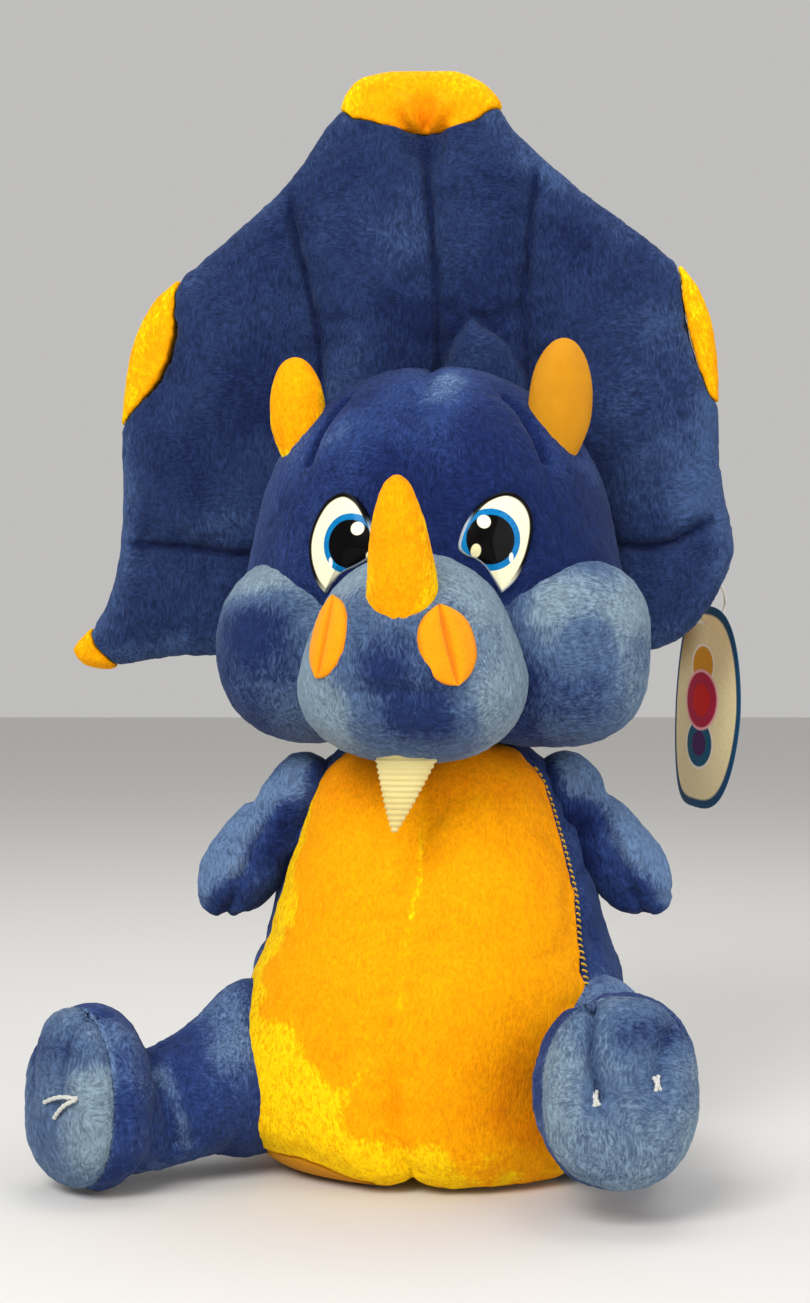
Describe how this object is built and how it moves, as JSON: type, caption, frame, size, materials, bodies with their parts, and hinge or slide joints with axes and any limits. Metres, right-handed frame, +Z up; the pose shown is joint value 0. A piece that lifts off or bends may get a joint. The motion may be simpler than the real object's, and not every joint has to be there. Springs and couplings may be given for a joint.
{
  "type": "stuffed dinosaur",
  "caption": "Sitting stuffed dinosaur toy with a pear-shaped body, big frilled head, soft horns, floppy arms and legs, and a hang tag.",
  "frame": {"origin": "middle of the flat seat, on the surface that the toy sits on", "axes": "+Z up, -Y the way the toy's body faces, +X its left side"},
  "size_m": [0.287, 0.2628, 0.444],
  "materials": {
    "blue_plush": "matte",
    "pale_blue_plush": "matte",
    "golden_velour": "matte",
    "smooth_golden_cloth": "matte",
    "orange_felt": "matte",
    "cream_rib": "matte",
    "stuffing": "matte",
    "pellets": "matte",
    "eye_plastic": "gloss",
    "washer_plastic": "satin",
    "white_thread": "matte",
    "label_tape": "matte",
    "tag_card": "satin",
    "tag_plastic": "gloss"
  },
  "bodies": {
    "body": {"body_skin": "blue_plush", "belly_panel": "golden_velour", "base_panel": "smooth_golden_cloth", "body_stuffing": "stuffing", "pellet_bag": "pellets", "seam_label": "label_tape"},
    "tail": {"tail_skin": "blue_plush", "tail_stuffing": "stuffing"},
    "neck": {"neck_skin": "blue_plush", "neck_stuffing": "stuffing"},
    "head": {"head_skin": "blue_plush", "head_stuffing": "stuffing", "cheek_left": "pale_blue_plush", "cheek_right": "pale_blue_plush", "snout_skin": "pale_blue_plush", "chin_panel": "pale_blue_plush", "eye_left": "eye_plastic", "eye_right": "eye_plastic", "eye_washer_left": "washer_plastic", "eye_washer_right": "washer_plastic", "nostril_left": "orange_felt", "nostril_right": "orange_felt", "nose_horn_skin": "golden_velour", "nose_horn_stuffing": "stuffing", "brow_horn_left_skin": "golden_velour", "brow_horn_left_stuffing": "stuffing", "brow_horn_right_skin": "golden_velour", "brow_horn_right_stuffing": "stuffing"},
    "tooth": {"tooth": "cream_rib"},
    "frill": {"frill_front": "blue_plush", "frill_back_panel": "blue_plush", "frill_batting": "stuffing", "frill_top_patch": "golden_velour", "frill_side_patch_left": "golden_velour", "frill_side_patch_right": "golden_velour", "frill_tip_left": "golden_velour", "frill_tip_right": "golden_velour", "tag_fastener": "tag_plastic"},
    "arm_left": {"arm_left_skin": "blue_plush", "arm_left_stuffing": "stuffing"},
    "arm_right": {"arm_right_skin": "blue_plush", "arm_right_stuffing": "stuffing"},
    "leg_left": {"leg_left_skin": "blue_plush", "leg_left_stuffing": "stuffing", "leg_left_sole": "pale_blue_plush", "leg_left_toe_stitches": "white_thread"},
    "leg_right": {"leg_right_skin": "blue_plush", "leg_right_stuffing": "stuffing", "leg_right_sole": "pale_blue_plush", "leg_right_toe_stitches": "white_thread"},
    "tag": {"tag_card": "tag_card"}
  },
  "joints": [
    {"name": "head_turn", "type": "hinge", "parent": "body", "child": "neck", "pos_m": [0, 0, 0.17], "axis": [0, 0, 1], "range_deg": [-20, 20], "stiffness_Nm_per_rad": 0.4},
    {"name": "head_nod", "type": "hinge", "parent": "neck", "child": "head", "pos_m": [0, 0, 0.17], "axis": [-0.9903, 0.1392, 0], "range_deg": [-4, 14], "stiffness_Nm_per_rad": 1.5, "springref_deg": 1.72},
    {"name": "tooth_flap", "type": "hinge", "parent": "head", "child": "tooth", "pos_m": [-0.01113, -0.07922, 0.1608], "axis": [-0.9903, 0.1392, 0], "range_deg": [-25, 30]},
    {"name": "frill_flop", "type": "hinge", "parent": "head", "child": "frill", "pos_m": [0.00473, 0.03367, 0.2], "axis": [-0.9903, 0.1392, 0], "range_deg": [0, 15], "stiffness_Nm_per_rad": 0.4},
    {"name": "tag_swing", "type": "hinge", "parent": "frill", "child": "tag", "pos_m": [0.118, 0.07, 0.214], "axis": [0.4695, -0.8829, 0], "range_deg": [-25, 25]},
    {"name": "arm_left_swing", "type": "hinge", "parent": "body", "child": "arm_left", "pos_m": [0.0523, -0.002, 0.147], "axis": [-1, 0, 0], "range_deg": [-20, 70], "stiffness_Nm_per_rad": 0.03},
    {"name": "arm_right_swing", "type": "hinge", "parent": "body", "child": "arm_right", "pos_m": [-0.0523, -0.002, 0.147], "axis": [-1, 0, 0], "range_deg": [-20, 70], "stiffness_Nm_per_rad": 0.03},
    {"name": "leg_left_splay", "type": "hinge", "parent": "body", "child": "leg_left", "pos_m": [0.058, -0.028, 0.036], "axis": [0, 0, 1], "range_deg": [0, 62], "stiffness_Nm_per_rad": 0.1},
    {"name": "leg_right_splay", "type": "hinge", "parent": "body", "child": "leg_right", "pos_m": [-0.058, -0.028, 0.036], "axis": [0, 0, -1], "range_deg": [-70, 5], "stiffness_Nm_per_rad": 0.1},
    {"name": "tail_wag", "type": "hinge", "parent": "body", "child": "tail", "pos_m": [0, 0.06, 0.03], "axis": [0, 0, 1], "range_deg": [-15, 15], "stiffness_Nm_per_rad": 0.08}
  ]
}
